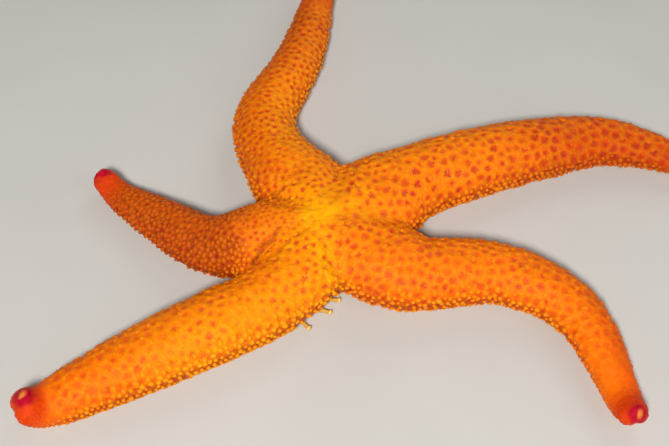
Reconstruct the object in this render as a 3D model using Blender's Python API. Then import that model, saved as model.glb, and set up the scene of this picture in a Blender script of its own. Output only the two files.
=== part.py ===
"""Five-armed red sea star (Echinaster), a still life-size model that rests on a floor.

Millimetres inside the functions, metres in the scene; +Z up, the floor at z = 0.
The disc, the mouth, the madreporite, three lengths of each arm and the five terminal
eyespots are separate closed solids, 0.3 mm apart.
Each arm is a loft: rings of one cross-section, turned along a path that is described by
where and how far the arm turns, how wide it is and how its tip curls up.
"""
import math

import bmesh
import bpy
from mathutils import Vector

MM = 0.001

# ---- driving dimensions, in millimetres and degrees --------------------------------------
GAP = 0.3                 # clear space between neighbouring solids
BASE_TALL = 15.4          # height of the body where an arm leaves the disc
DISC_TALL = 16.2          # height of the middle of the disc
WIDEST_AT = 0.42          # height of the widest point, as a share of the section's height
TIP_AT = 0.75             # height of the tip's end, as a share of the section's height
FLAT_AT = 0.45            # outer edge of the flat sole, as a share of the half width
FUSE_LENGTH = 14.0        # length over which an arm's root takes the arm's own section
GROOVE_WIDE = 3.2         # ambulacral groove at the arm's root
GROOVE_DEEP = 2.4
GROOVE_TIP_SHARE = 0.35   # size of the groove at the tip, as a share of its size at the root
GROOVE_SHOULDER = 0.75    # where the groove's wall bends, as a share of its width and depth
GROOVE_LEAST_ARM = 6.0    # an arm narrower than this has a smaller groove
MOUTH_SHARE = 0.30        # where the sole stops at the mouth, as a share of the way to an axil
MOUTH_DEEP = 3.0
MOUTH_RADIUS = 3.0
MOUTH_BULGE = 1.5         # how far the mouth's membrane hangs down
SEAT_WIDE = 2.5           # width of the flat face at an arm's tip, where the eyespot sits
EYE_WIDE = 2.4            # the eyespot: an oval knob, taller than it is wide
EYE_TALL = 3.4
EYE_PROUD = 0.7
MADREPORITE_RADIUS = 1.7
MADREPORITE_PROUD = 0.5
MADREPORITE_EDGE = 0.25   # thickness of its rim
MADREPORITE_AT = (8, 8.0)  # bearing from the middle of the disc, and distance

# Axils, the corners between two arms: bearing from the middle of the disc in degrees, and
# distance.
AXILS = {
    "right_back": (78, 20.4),
    "back_left": (153, 17.6),
    "left_front_left": (213, 21.0),
    "front_left_front_right": (283.5, 17.0),
    "front_right_right": (1, 21.6),
}

# heading: bearing in which the arm starts; turns: (from, to, degrees) along the arm;
# widths: control widths from root to tip; tall: height over width; curl: length and
# degrees over which the tip turns up.
ARMS = {
    "right": dict(axils=("front_right_right", "right_back"), heading=32.5, length=94.5,
                  turns=((2, 20, -12), (22, 50, -6), (50, 84, -39)),
                  widths=(20.0, 22.0, 15.5, 6.5), tall=0.74, curl=(20, 21)),
    "back": dict(axils=("right_back", "back_left"), heading=133.5, length=82.5,
                 turns=((0, 16, -20), (14, 36, -49), (36, 66, 15)),
                 widths=(21.0, 16.0, 14.0, 8.5), tall=0.74, curl=(20, 17)),
    "left": dict(axils=("back_left", "left_front_left"), heading=197.5, length=52,
                 turns=((0, 20, -53), (34, 48, -10)),
                 widths=(16.5, 17.0, 10.0, 6.0), tall=0.72, curl=(16, 33)),
    "front_left": dict(axils=("left_front_left", "front_left_front_right"), heading=222.5,
                       length=79, turns=((0, 18, -15),),
                       widths=(16.5, 22.5, 15.5, 8.5), tall=0.76, curl=(19, 74)),
    "front_right": dict(axils=("front_left_front_right", "front_right_right"), heading=326.5,
                        length=87.5, turns=((0, 16, 41), (18, 40, -31), (36, 64, -49), (62, 80, -6)),
                        widths=(21.5, 16.0, 13.5, 7.0), tall=0.74, curl=(18, 47)),
}

# The three lengths of an arm, as shares of its whole length.
LENGTHS = (("base", 0.0, 0.34), ("middle", 0.34, 0.68), ("end", 0.68, 1.0))
RING_SPACING = 4.6        # between rings along an arm
END_SPACING = 3.2         # between rings along an arm's last length, which curls
TIP_RINGS = 4             # rings that round the tip off
PATH_STEP = 0.25          # step of the path's integration
TOP_POINTS = 13           # points over the back of a section, edge to edge
SIDE_POINTS = 4           # points from the widest place down to the sole
TOP_SHARES = (0.12, 0.26, 0.42, 0.58, 0.74, 0.88)      # rings of the disc's upper side
SOLE_SHARES = (0.44, 0.58, 0.72, 0.86)                 # rings of the disc's sole
CREASE_POWER = 1.25       # over 1, the creases between the arms fade towards the middle
SOLE_RISE_AT = 0.45       # where, on the way to an axil, the sole leaves the floor
SHARP_ANGLE = 40          # edges sharper than this are shaded as edges
ROUGHNESS = 0.5
TINY = 1e-6               # distances below this count as none

COLOURS = {
    "disc": (0.95, 0.42, 0.02),
    "mouth": (0.93, 0.62, 0.25),
    "madreporite": (0.98, 0.60, 0.08),
    "base": (0.92, 0.30, 0.01),
    "middle": (0.88, 0.24, 0.01),
    "end": (0.80, 0.15, 0.02),
    "eye": (0.98, 0.65, 0.30),
}


# ---- small helpers -----------------------------------------------------------------------
def ease(share):
    share = min(max(share, 0.0), 1.0)
    return share * share * (3 - 2 * share)


def mix(first, second, share):
    return first + (second - first) * share


def on_bearing(bearing, distance):
    angle = math.radians(bearing)
    return Vector((math.cos(angle), math.sin(angle), 0.0)) * distance


def turned_by(bearing, reference):
    """The difference between two bearings, between -180 and 180 degrees."""
    return (bearing - reference + 180) % 360 - 180


# ---- the cross-section -------------------------------------------------------------------
def section(wide, tall, groove_share):
    """Points (across, up) of a closed section, anticlockwise from its right-hand edge."""
    half = wide / 2
    widest = WIDEST_AT * tall
    flat = FLAT_AT * half
    points = []
    for step in range(TOP_POINTS):
        angle = math.pi * step / (TOP_POINTS - 1)
        points.append((half * math.cos(angle), widest + (tall - widest) * math.sin(angle)))
    side = []
    for step in range(1, SIDE_POINTS + 1):
        angle = math.pi / 2 * step / SIDE_POINTS
        side.append((flat + (half - flat) * math.cos(angle), widest * (1 - math.sin(angle))))
    groove_half = GROOVE_WIDE / 2 * groove_share
    groove_deep = GROOVE_DEEP * groove_share
    groove = [(groove_half, 0.0), (groove_half * GROOVE_SHOULDER, groove_deep * GROOVE_SHOULDER)]
    points += [(-across, up) for across, up in side]
    points += [(-across, up) for across, up in groove]
    points.append((0.0, groove_deep))
    points += reversed(groove)
    points += reversed(side)
    return points


# ---- the arms ----------------------------------------------------------------------------
class Arm:
    """The path and sections of one arm, from the disc's side to its tip."""

    def __init__(self, name):
        data = ARMS[name]
        self.name = name
        self.length = data["length"]
        self.widths = data["widths"]
        self.tall = data["tall"]
        self.turns = data["turns"]
        self.heading = data["heading"]
        self.curl_length, self.curl = data["curl"]
        first, second = (on_bearing(*AXILS[axil]) for axil in data["axils"])
        chord = second - first
        self.root = (first + second) / 2
        self.root_wide = chord.length
        self.root_bearing = math.degrees(math.atan2(-chord.x, chord.y))
        self.path = self.walk()

    def heading_at(self, along):
        heading = self.heading
        for start, stop, degrees in self.turns:
            heading += degrees * ease((along - start) / (stop - start))
        return heading

    def pitch_at(self, along):
        return self.curl * ease((along - self.length + self.curl_length) / self.curl_length)

    def full_width_at(self, along):
        share = along / self.length
        rest = 1 - share
        root, first, second, tip = self.widths
        return (root * rest ** 3 + 3 * first * share * rest ** 2
                + 3 * second * share ** 2 * rest + tip * share ** 3)

    def width_at(self, along):
        """The width, rounded off over the last half width of the tip."""
        round_length = self.widths[-1] / 2
        over = max(along - (self.length - round_length), 0.0) / round_length
        return self.full_width_at(along) * math.sqrt(max(1 - over * over, 0.0))

    def walk(self):
        """Points of the sole's middle line, a step apart."""
        point = self.root.copy()
        points = [point.copy()]
        steps = round(self.length / PATH_STEP)
        for step in range(steps):
            middle = (step + 0.5) * PATH_STEP
            pitch = math.radians(self.pitch_at(middle))
            point += on_bearing(self.heading_at(middle), PATH_STEP * math.cos(pitch))
            point.z += PATH_STEP * math.sin(pitch)
            points.append(point.copy())
        return points

    def point_at(self, along):
        place = along / PATH_STEP
        step = min(int(place), len(self.path) - 2)
        return self.path[step].lerp(self.path[step + 1], place - step)

    def axes_at(self, along):
        """Forward, rightward and upward directions of the section there."""
        own = ease(along / FUSE_LENGTH)
        bearing = self.root_bearing + turned_by(self.heading_at(along), self.root_bearing) * own
        pitch = math.radians(self.pitch_at(along))
        forward = on_bearing(bearing, math.cos(pitch)) + Vector((0, 0, math.sin(pitch)))
        right = on_bearing(bearing - 90, 1.0)
        return forward, right, right.cross(forward)

    def ring(self, along):
        own = ease(along / FUSE_LENGTH)
        width = self.width_at(along)
        wide = mix(self.root_wide, width, own)
        tall = mix(BASE_TALL, self.tall * width, own)
        groove_share = (mix(1.0, GROOVE_TIP_SHARE, along / self.length)
                        * min(width / GROOVE_LEAST_ARM, 1.0))
        raised = TIP_AT * self.tall * (self.full_width_at(along) - width)
        _, right, up = self.axes_at(along)
        middle = self.point_at(along)
        return [middle + right * across + up * (height + raised)
                for across, height in section(wide, tall, groove_share)]

    def seat(self):
        """Distance along the arm of the small flat face that the eyespot sits on."""
        round_length = self.widths[-1] / 2
        share = SEAT_WIDE / self.full_width_at(self.length)
        return self.length - round_length * (1 - math.sqrt(1 - share * share))

    def stations(self, start_share, stop_share):
        start = start_share * self.length + (GAP if start_share == 0 else GAP / 2)
        if stop_share < 1:
            stop = stop_share * self.length - GAP / 2
            tip = []
        else:
            stop = self.length - self.widths[-1] / 2
            reach = self.seat() - stop
            tip = [stop + reach * math.sin(math.pi / 2 * step / TIP_RINGS)
                   for step in range(1, TIP_RINGS + 1)]
        spacing = RING_SPACING if stop_share < 1 else END_SPACING
        count = round((stop - start) / spacing)
        return [mix(start, stop, step / count) for step in range(count + 1)] + tip


def loft(rings):
    """One closed body through rings of equal point count, with flat ends."""
    mesh = bmesh.new()
    loops = [[mesh.verts.new(point * MM) for point in ring] for ring in rings]
    for first, second in zip(loops, loops[1:]):
        for step in range(len(first)):
            after = (step + 1) % len(first)
            mesh.faces.new((first[step], first[after], second[after], second[step]))
    mesh.faces.new(loops[0])
    mesh.faces.new(loops[-1])
    return mesh


def half_ball(around, over):
    """The closed upper half of a ball of radius 1, in millimetres."""
    mesh = bmesh.new()
    bmesh.ops.create_uvsphere(mesh, u_segments=around, v_segments=over, radius=1.0)
    below = [vertex for vertex in mesh.verts if vertex.co.z < -TINY]
    bmesh.ops.delete(mesh, geom=below, context="VERTS")
    bmesh.ops.holes_fill(mesh, edges=mesh.edges)
    return mesh


def eyespot(arm):
    """A low oval knob on the flat face at the arm's tip."""
    seat = arm.seat()
    forward, right, up = arm.axes_at(seat)
    raised = TIP_AT * arm.tall * arm.full_width_at(seat)
    start = arm.point_at(seat) + up * raised + forward * GAP
    mesh = half_ball(around=12, over=6)
    for vertex in mesh.verts:
        across, along, out = vertex.co
        place = start + right * across * EYE_WIDE / 2 + up * along * EYE_TALL / 2
        vertex.co = (place + forward * out * EYE_PROUD) * MM
    return mesh


# ---- the disc ----------------------------------------------------------------------------
def edge_height(share):
    """Height of the crease between two arms, a share of the way out to the axil."""
    return mix(DISC_TALL, WIDEST_AT * BASE_TALL, share ** CREASE_POWER)


def ridge_height(share):
    return mix(DISC_TALL, BASE_TALL, share)


def sole_rise(share):
    """How much of the axil's height the sole has, a share of the way out to the axil."""
    over = max(share - SOLE_RISE_AT, 0.0) / (1 - SOLE_RISE_AT)
    return 1 - math.sqrt(max(1 - over * over, 0.0))


def top_row(arm, share):
    """Points across one arm's wedge of the disc, on the upper side."""
    right = on_bearing(arm.root_bearing - 90, 1.0)
    edge = edge_height(share)
    row = []
    for step in range(TOP_POINTS):
        angle = math.pi * step / (TOP_POINTS - 1)
        place = (arm.root + right * (arm.root_wide / 2 * math.cos(angle))) * share
        place.z = mix(edge, ridge_height(share), math.sin(angle))
        row.append(place)
    return row


def sole_row(arm, share):
    """Points across one arm's wedge of the disc, on the sole, left edge to right edge."""
    right = on_bearing(arm.root_bearing - 90, 1.0)
    outline = section(arm.root_wide, BASE_TALL, 1.0)
    lower = outline[TOP_POINTS - 1:] + outline[:1]
    rise = sole_rise(share)
    row = []
    for across, up in lower:
        in_groove = abs(across) <= GROOVE_WIDE / 2 + TINY
        scale = 1.0 if in_groove else share
        place = arm.root * share + right * across * scale
        place.z = up if in_groove else up * rise
        row.append(place)
    return row


def add_strip(mesh, first, second):
    """Faces between two rows of points; a row of one point makes a fan."""
    for step in range(max(len(first), len(second)) - 1):
        corners = [first[min(step, len(first) - 1)], first[min(step + 1, len(first) - 1)]]
        corners += [second[min(step + 1, len(second) - 1)], second[min(step, len(second) - 1)]]
        distinct = []
        for corner in corners:
            if not distinct or (corner - distinct[-1]).length > TINY:
                distinct.append(corner)
        mesh.faces.new([mesh.verts.new(corner * MM) for corner in distinct])


def disc(arms):
    mesh = bmesh.new()
    middle = Vector((0.0, 0.0, DISC_TALL))
    ceiling = Vector((0.0, 0.0, MOUTH_DEEP))
    for arm in arms:
        tops = [[middle]] + [top_row(arm, share) for share in TOP_SHARES + (1.0,)]
        for first, second in zip(tops, tops[1:]):
            add_strip(mesh, first, second)
        soles = [sole_row(arm, share) for share in (MOUTH_SHARE,) + SOLE_SHARES + (1.0,)]
        for first, second in zip(soles, soles[1:]):
            add_strip(mesh, first, second)
        rim = [Vector((point.x, point.y, MOUTH_DEEP)) for point in soles[0]]
        add_strip(mesh, rim, soles[0])
        add_strip(mesh, [ceiling], rim)
        side = tops[-1] + soles[-1][1:-1]
        mesh.faces.new([mesh.verts.new(point * MM) for point in side])
    bmesh.ops.remove_doubles(mesh, verts=mesh.verts, dist=TINY)
    return mesh


def mouth():
    """The domed membrane round the mouth, under the middle of the disc."""
    mesh = half_ball(around=20, over=8)
    for vertex in mesh.verts:
        across, along, out = vertex.co
        place = Vector((across * MOUTH_RADIUS, along * MOUTH_RADIUS, -out * MOUTH_BULGE))
        place.z += MOUTH_DEEP - GAP
        vertex.co = place * MM
    return mesh


def disc_height(place, arms):
    """Height of the disc's upper side under a place near its middle."""
    for arm in arms:
        forward = on_bearing(arm.root_bearing, 1.0)
        right = on_bearing(arm.root_bearing - 90, 1.0)
        share = place.dot(forward) / arm.root.dot(forward)
        if share <= 0:
            continue
        across = (place - arm.root * share).dot(right) / (arm.root_wide / 2 * share)
        if abs(across) <= 1:
            arch = math.sqrt(1 - across * across)
            return mix(edge_height(share), ridge_height(share), arch)
    return DISC_TALL


def madreporite(arms):
    """A low button that follows the disc's upper side."""
    centre = on_bearing(*MADREPORITE_AT)
    mesh = bmesh.new()
    bmesh.ops.create_uvsphere(mesh, u_segments=16, v_segments=8, radius=1.0)
    for vertex in mesh.verts:
        across, along, height = vertex.co
        place = centre + Vector((across, along, 0.0)) * MADREPORITE_RADIUS
        rise = GAP + MADREPORITE_EDGE + height * MADREPORITE_PROUD
        if height < 0:
            rise = GAP + MADREPORITE_EDGE * (1 + height)
        place.z = disc_height(place, arms) + rise
        vertex.co = place * MM
    return mesh


# ---- objects -----------------------------------------------------------------------------
def material(name, colour):
    made = bpy.data.materials.new(name)
    made.use_nodes = True
    shader = made.node_tree.nodes["Principled BSDF"]
    shader.inputs["Base Color"].default_value = (*colour, 1.0)
    shader.inputs["Roughness"].default_value = ROUGHNESS
    shader.inputs["Metallic"].default_value = 0.0
    return made


def add_object(name, mesh, look):
    bmesh.ops.recalc_face_normals(mesh, faces=mesh.faces)
    if mesh.calc_volume(signed=True) < 0:
        bmesh.ops.reverse_faces(mesh, faces=mesh.faces)
    data = bpy.data.meshes.new(name)
    mesh.to_mesh(data)
    mesh.free()
    data.materials.append(look)
    data.shade_smooth()
    data.set_sharp_from_angle(angle=math.radians(SHARP_ANGLE))
    made = bpy.data.objects.new(name, data)
    bpy.context.scene.collection.objects.link(made)
    return made


def centre_on_floor(objects):
    """Puts the middle of the whole model's box over the origin, and its sole at z = 0."""
    corners = [vertex.co for made in objects for vertex in made.data.vertices]
    low = [min(corner[axis] for corner in corners) for axis in range(3)]
    high = [max(corner[axis] for corner in corners) for axis in range(3)]
    shift = Vector((-(low[0] + high[0]) / 2, -(low[1] + high[1]) / 2, -low[2]))
    for made in objects:
        for vertex in made.data.vertices:
            vertex.co += shift


def main():
    for old in list(bpy.data.objects):
        bpy.data.objects.remove(old)
    looks = {name: material("skin_" + name, colour) for name, colour in COLOURS.items()}
    arms = [Arm(name) for name in ARMS]
    objects = [
        add_object("disc", disc(arms), looks["disc"]),
        add_object("mouth", mouth(), looks["mouth"]),
        add_object("madreporite", madreporite(arms), looks["madreporite"]),
    ]
    for arm in arms:
        for length, start, stop in LENGTHS:
            rings = [arm.ring(along) for along in arm.stations(start, stop)]
            objects.append(add_object(f"arm_{arm.name}_{length}", loft(rings), looks[length]))
        objects.append(add_object(f"eye_{arm.name}", eyespot(arm), looks["eye"]))
    centre_on_floor(objects)


main()
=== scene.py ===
"""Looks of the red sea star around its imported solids.

One skin replaces the solids of the disc and the arms. Over it stand blunt spines, soft papulae in
the pits between them, tube feet in the grooves of the sole, a sieve plate, a mouth and an eyespot
on each tip. Lengths are millimetres in the functions and metres in the scene; angles are degrees.
"""

import math

import bmesh
import bpy
import numpy as np
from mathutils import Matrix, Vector
from mathutils.kdtree import KDTree

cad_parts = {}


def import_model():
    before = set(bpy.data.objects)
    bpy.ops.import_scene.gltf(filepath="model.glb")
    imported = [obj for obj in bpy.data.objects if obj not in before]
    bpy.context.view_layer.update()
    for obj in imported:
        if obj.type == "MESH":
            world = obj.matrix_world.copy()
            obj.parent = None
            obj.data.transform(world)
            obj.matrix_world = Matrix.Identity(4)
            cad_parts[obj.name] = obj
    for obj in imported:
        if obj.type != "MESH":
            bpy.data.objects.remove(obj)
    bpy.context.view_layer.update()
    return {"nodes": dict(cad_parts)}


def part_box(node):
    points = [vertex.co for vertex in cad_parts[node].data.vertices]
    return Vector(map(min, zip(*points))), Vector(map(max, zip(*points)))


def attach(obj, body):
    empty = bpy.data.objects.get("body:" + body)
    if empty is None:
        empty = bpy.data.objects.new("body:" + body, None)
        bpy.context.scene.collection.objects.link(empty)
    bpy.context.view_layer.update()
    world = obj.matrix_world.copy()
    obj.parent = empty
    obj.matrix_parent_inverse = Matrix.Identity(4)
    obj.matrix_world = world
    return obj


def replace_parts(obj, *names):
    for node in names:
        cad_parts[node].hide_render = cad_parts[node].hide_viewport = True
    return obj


MM = 0.001
SEED = 20260

# ---- the arms, as the solids have them
AXILS = {
    "right_back": (78, 20.4),
    "back_left": (153, 17.6),
    "left_side": (213, 21.0),
    "front": (283.5, 17.0),
    "right_side": (1, 21.6),
}
ARMS = {
    "right": dict(
        axils=("right_side", "right_back"), heading=32.5, length=94.5,
        turns=((2, 20, -12), (22, 50, -6), (50, 84, -39)), widths=(20.0, 22.0, 15.5, 6.5),
        tall=0.74, curl=(20, 21)),
    "back": dict(
        axils=("right_back", "back_left"), heading=133.5, length=82.5,
        turns=((0, 16, -20), (14, 36, -49), (36, 66, 15)), widths=(21.0, 16.0, 14.0, 8.5),
        tall=0.74, curl=(20, 17)),
    "left": dict(
        axils=("back_left", "left_side"), heading=197.5, length=52,
        turns=((0, 20, -53), (34, 48, -10)), widths=(16.5, 17.0, 10.0, 6.0), tall=0.72,
        curl=(16, 33)),
    "front_left": dict(
        axils=("left_side", "front"), heading=222.5, length=79, turns=((0, 18, -15),),
        widths=(16.5, 22.5, 15.5, 8.5), tall=0.76, curl=(19, 74)),
    "front_right": dict(
        axils=("front", "right_side"), heading=326.5, length=87.5,
        turns=((0, 16, 41), (18, 40, -31), (36, 64, -49), (62, 80, -6)),
        widths=(21.5, 16.0, 13.5, 7.0), tall=0.74, curl=(18, 47)),
}
LENGTHS = ("base", "middle", "end")
BASE_TALL = 15.4
FUSE_LENGTH = 14.0
WIDEST_AT = 0.42
GROOVE_WIDE = 3.2
GROOVE_DEEP = 2.4
GROOVE_TIP_SHARE = 0.35
MOUTH_EDGE = 4.2  # from the middle of the disc to where the grooves begin
SEAT_BACK = 1.0  # from an arm's tip back to the eyespot's seat

# Folds that run in from the axils. bend: the turn from the straight way to the disc's middle;
# bow: how far the end lies to the left; deep: how far the skin sinks; dark: how strongly painted
# shade browns the fold's line; glow: how yellow the skin beside it turns.
CREASES = {
    "left_side": dict(bend=13, bow=0.5, length=14.0, deep=0.65, crease_shade=0.75, glow=0.0),
    "back_left": dict(bend=36, bow=0.0, length=14.5, deep=0.45, crease_shade=0.50, glow=0.0),
    "front": dict(bend=22, bow=-3.0, length=13.0, deep=0.40, crease_shade=0.35, glow=0.9),
    "right_side": dict(bend=8, bow=0.0, length=12.0, deep=0.25, crease_shade=0.20, glow=0.0),
}

# ---- the skin and its coat
VOXEL = 0.46  # spacing of the skin's points
SWELL = 0.3  # how far the solids swell to close the cuts between them
SKIN_CLEAR = 0.05  # from the floor up to the skin, and to its coat
COAT_CLEAR = 0.02
LINE_STEP = 0.5  # between stations of an arm's middle line
CORE_PLACE = (-0.8, 0.4)  # the middle of the disc's yellow, from the disc's middle
CREASE_WIDE = 0.45  # half width of the folds at the axils
AREA_SPACING = (2.0, 3.0)  # between the middles of the papular areas
AREA_RADII = (0.70, 1.15)
AREA_DEEP = 0.27
DOT_SPACING = 0.75  # between the papulae of one area
DOT_RADIUS = 0.42
DOT_DEEP = 0.10
NET_WIDE = 1.3  # of the ridges between the areas
NET_RISE = 0.10
GRAIN_RISE = 0.045  # of the skin's fine unevenness
SPINE_SPACING = (2.2, 1.22)  # on the plain back and where the skin is knobby
SPINE_BACK = 0.15  # height of the spines on the back, the flanks and the sole
SPINE_FLANK = 0.62
SPINE_SOLE = 0.55
SPINE_RADII = (0.36, 0.54)  # likewise
SPINE_STRETCH = 1.3  # how much longer the back's low spines are across the arm
ROW_SPACING = 1.5  # rows of spines on the flanks and the sole
ROWS_BELOW = 80  # angle from the ridge at which the rows begin
FRINGE_AT = 122  # angle of the longer spines along the lower edge
PAPULA_RADIUS = 0.34
PAPULA_TALL = 0.10
TUBE_SPACING = 1.35
TUBE_RADIUS = 0.36
REACHING_ARM = "front_left"
REACHING_START = 3.8  # from the arm's middle line to where the reaching feet start
REACHING_RADIUS = 0.80
REACHING_FEET = ((15.0, 10.7), (19.1, 11.6), (22.4, 10.2))  # places along and across the arm
EYE_WIDE = 2.3  # the eyespots' cushions
EYE_TALL = 3.6
EYE_PROUD = 0.9
EYE_SUNK = 1.25  # from the middle of an eyespot's seat to its cushion's rim
# How an eyespot lies off the middle of its seat (to the right and to the back) and is turned.
EYE_SHIFTS = {"front_left": (-0.6, 0.7, 30), "front_right": (0.55, -0.6, -20)}
SIEVE_WIDE = 2.2  # the madreporite's plate
SIEVE_PROUD = 0.22
MOUTH_WIDE = 6.4  # the membrane round the mouth
PATCH = 0.0015  # half the size of one spine's patch on the unwrap
CHART_SCALE = 205.0  # millimetres of skin across the whole unwrap


def srgb(hues):
    """Colours as the eye names them, 0 to 255, made linear."""
    share = np.array(hues, dtype=float) / 255
    return np.where(share <= 0.04045, share / 12.92, ((share + 0.055) / 1.055) ** 2.4)


HUES = {name: srgb(hue) for name, hue in {
    "disc": (255, 154, 4),
    "arm": (252, 124, 10),
    "tip": (214, 62, 8),
    "crimson": (182, 4, 40),
    "core": (255, 180, 2),
    "area": (226, 60, 18),
    # the papulae's pink with a painted highlight
    "area_pink_sheen": (234, 96, 58),
    # the red skin between knobs, with painted shade between them and low on the flanks
    "gap_and_shade": (208, 54, 20),
    # painted shade low on the flanks
    "low_flank_shade": (150, 42, 8),
    "dot": (200, 40, 20),
    # the papulae's pink with a painted highlight
    "dot_pink_sheen": (240, 92, 60),
    "net": (255, 150, 8),
    "crest": (255, 172, 18),
    # painted shade in the folds' lines
    "fold": (150, 62, 12),
    "sole": (250, 186, 96),
    "tube": (255, 216, 150),
    "reaching": (206, 160, 74),
    "eye": (212, 126, 50),
}.items()}
# How the arms differ. inner and outer: hues of the left and the right side, near the disc and far
# out, partly the arms' own colour and partly painted light and shade, one side lit and the other
# shaded; glow: how much of the disc's yellow reaches the root; grain: size of the papular areas;
# dots: how strong their red is; knobs_from: angle from the ridge where knobs begin; crest: how
# yellow the knobs are; gaps: how dark the skin is between them, partly its red and partly painted
# shade; calm: length of the smooth end.
LOOKS = {
    "right": dict(
        inner=((254, 132, 10), (252, 124, 12)), outer=((236, 100, 16), (218, 76, 10)), glow=0.6,
        grain=1.0, dots=0.95, knobs_from=46, crest=0.6, gaps=0.3, calm=18),
    "back": dict(
        inner=((236, 106, 8), (254, 142, 14)), outer=((218, 90, 14), (236, 114, 20)), glow=0.9,
        grain=0.76, dots=0.85, knobs_from=40, crest=0.8, gaps=0.4, calm=18),
    # The left arm's deeper outer hues and darker gaps are partly painted shade: it lies farther from
    # the light.
    "left": dict(
        inner=((244, 108, 10), (248, 112, 10)), outer=((208, 76, 8), (216, 84, 10)), glow=0.4,
        grain=0.60, dots=1.0, knobs_from=-15, crest=0.3, gaps=0.85, calm=16),
    "front_left": dict(
        inner=((255, 148, 4), (250, 126, 10)), outer=((244, 110, 6), (246, 110, 8)), glow=1.0,
        grain=0.95, dots=0.5, knobs_from=34, crest=1.0, gaps=0.25, calm=22),
    "front_right": dict(
        inner=((251, 120, 12), (250, 116, 10)), outer=((238, 94, 8), (252, 116, 6)), glow=0.25,
        grain=0.95, dots=0.55, knobs_from=38, crest=0.9, gaps=0.25, calm=36),
}


# ---- small helpers
def ease(share):
    share = np.clip(share, 0.0, 1.0)
    return share * share * (3 - 2 * share)


def mix(first, second, share):
    return first + (second - first) * share


def blend(first, second, share):
    """Blends colours or points row by row."""
    return first + (second - first) * np.asarray(share)[:, None]


def unit(rows):
    return rows / np.maximum(np.linalg.norm(rows, axis=-1, keepdims=True), 1e-12)


def on_bearing(bearing):
    angle = np.radians(bearing)
    return np.stack([np.cos(angle), np.sin(angle), np.zeros_like(angle)], axis=-1)


def slanted(bearing, pitch):
    """Directions on bearings, raised by a pitch in radians."""
    rows = on_bearing(bearing) * np.cos(pitch)[:, None]
    rows[:, 2] = np.sin(pitch)
    return rows


def turned_by(bearing, reference):
    return (bearing - reference + 180) % 360 - 180


def waves(points, length, count, seed):
    """A smooth value between about -1 and 1 at each point, from crossing waves."""
    random = np.random.default_rng(seed)
    total = np.zeros(len(points))
    for _ in range(count):
        direction = unit(random.normal(size=3))
        stretch = 2 * math.pi / (length * random.uniform(0.7, 1.4))
        total += np.sin(points @ direction * stretch + random.uniform(0, 2 * math.pi))
    return total / math.sqrt(count)


def tree_of(points):
    tree = KDTree(len(points))
    for index, point in enumerate(points):
        tree.insert(point, index)
    tree.balance()
    return tree


def picked(whole, chosen):
    """The chosen rows of Places or of a Scatter."""
    part = object.__new__(type(whole))
    for name, rows in vars(whole).items():
        setattr(part, name, rows[chosen])
    return part


def box_of(node):
    return [np.array(corner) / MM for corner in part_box(node)]


def add_object(name, data):
    thing = bpy.data.objects.new(name, data)
    bpy.context.scene.collection.objects.link(thing)
    return thing


# ---- the arms' middle lines
class ArmLine:
    """Stations along one arm, from the middle of the disc to its tip."""

    def __init__(self, name, centre):
        data = ARMS[name]
        self.name = name
        self.centre = centre
        self.length = data["length"]
        corners = [on_bearing(bearing) * distance
                   for bearing, distance in (AXILS[axil] for axil in data["axils"])]
        chord = corners[1] - corners[0]
        root = (corners[0] + corners[1]) / 2
        self.inner = float(np.linalg.norm(root))
        self.bearing = math.degrees(math.atan2(root[1], root[0]))
        root_bearing = math.degrees(math.atan2(-chord[0], chord[1]))
        along = np.arange(0.0, self.length + LINE_STEP / 2, LINE_STEP)
        heading = np.full(len(along), float(data["heading"]))
        for start, stop, degrees in data["turns"]:
            heading += degrees * ease((along - start) / (stop - start))
        curl_length, curl = data["curl"]
        pitch = np.radians(curl * ease((along - self.length + curl_length) / curl_length))
        step = slanted(heading, pitch)
        path = root + np.concatenate(
            [np.zeros((1, 3)), np.cumsum((step[1:] + step[:-1]) / 2 * LINE_STEP, axis=0)])
        own = ease(along / FUSE_LENGTH)
        bearing = root_bearing + turned_by(heading, root_bearing) * own
        share = along / self.length
        rest = 1 - share
        first, second, third, last = data["widths"]
        width = (first * rest ** 3 + 3 * second * share * rest ** 2
                 + 3 * third * share ** 2 * rest + last * share ** 3)
        inside = np.arange(0.0, self.inner, LINE_STEP)

        def from_middle(rows):
            """Station rows of the arm, the first also for the stations inside the disc."""
            return np.concatenate([np.repeat(rows[:1], len(inside), axis=0), rows])

        self.reach = np.concatenate([inside, self.inner + along])
        self.path = centre + np.concatenate([root * (inside / self.inner)[:, None], path])
        self.forward = from_middle(slanted(bearing, pitch))
        self.right = from_middle(on_bearing(bearing - 90))
        self.up = np.cross(self.right, self.forward)
        self.wide = np.concatenate([
            np.linspace(2.0, np.linalg.norm(chord), len(inside)),
            mix(np.linalg.norm(chord), width, own)])
        self.tall = from_middle(mix(BASE_TALL, data["tall"] * width, own))
        self.total = self.inner + self.length
        low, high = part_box(f"eye_{name}")
        aside, back, self.eye_turn = EYE_SHIFTS.get(name, (0.0, 0.0, 0.0))
        self.eye = (np.array(low) + np.array(high)) / 2 / MM
        shift = np.array([aside, back, 0.0])
        self.eye += shift - self.forward[-2] * (shift @ self.forward[-2])

    def at(self, reach, rows):
        """Any of the station arrays, read between stations."""
        place = np.asarray(reach, dtype=float)
        return np.stack([np.interp(place, self.reach, rows[:, axis]) for axis in range(3)], -1)

    def groove_share(self, reach):
        return mix(1.0, GROOVE_TIP_SHARE, np.clip((reach - self.inner) / self.length, 0, 1))


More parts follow.
